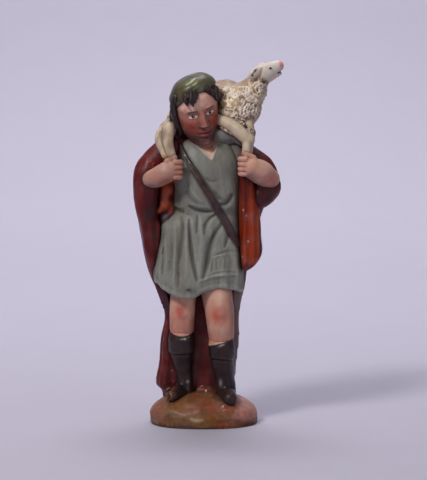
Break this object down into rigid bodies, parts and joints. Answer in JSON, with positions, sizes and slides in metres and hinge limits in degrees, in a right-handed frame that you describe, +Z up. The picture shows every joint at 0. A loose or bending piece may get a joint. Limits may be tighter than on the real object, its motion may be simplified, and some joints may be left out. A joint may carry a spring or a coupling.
{
  "type": "nativity shepherd figurine",
  "caption": "Painted clay shepherd in a hat, belted tunic, cloak and boots, standing on an oval mound with a lamb across the shoulders.",
  "frame": {"origin": "centre of the flat underside of the mound", "axes": "+Z up, -Y towards the viewer whom the shepherd faces, +X to that viewer's right"},
  "size_m": [0.0509, 0.0299, 0.1236],
  "materials": {
    "painted_clay": "fired clay under hand-brushed paint; the mean colour of all the paints",
    "cloak_red": "dark red paint, satin to glossy, orange-red on the lining",
    "tunic_grey": "grey-green paint, satin, darker in the folds",
    "strap_brown": "dark brown paint, satin",
    "boot_brown": "near-black brown paint, glossy",
    "skin_paint": "flesh paint with red blushed knees and a tanned face, satin",
    "hair_dark": "dark brown paint, satin",
    "hat_green": "olive green paint, glossy",
    "fleece_cream": "cream paint with an ochre wash in the curls, matt",
    "mound_earth": "ochre, brown and olive paint brushed together, satin"
  },
  "bodies": {
    "root": {"shepherd_figurine": "painted_clay"}
  },
  "joints": []
}
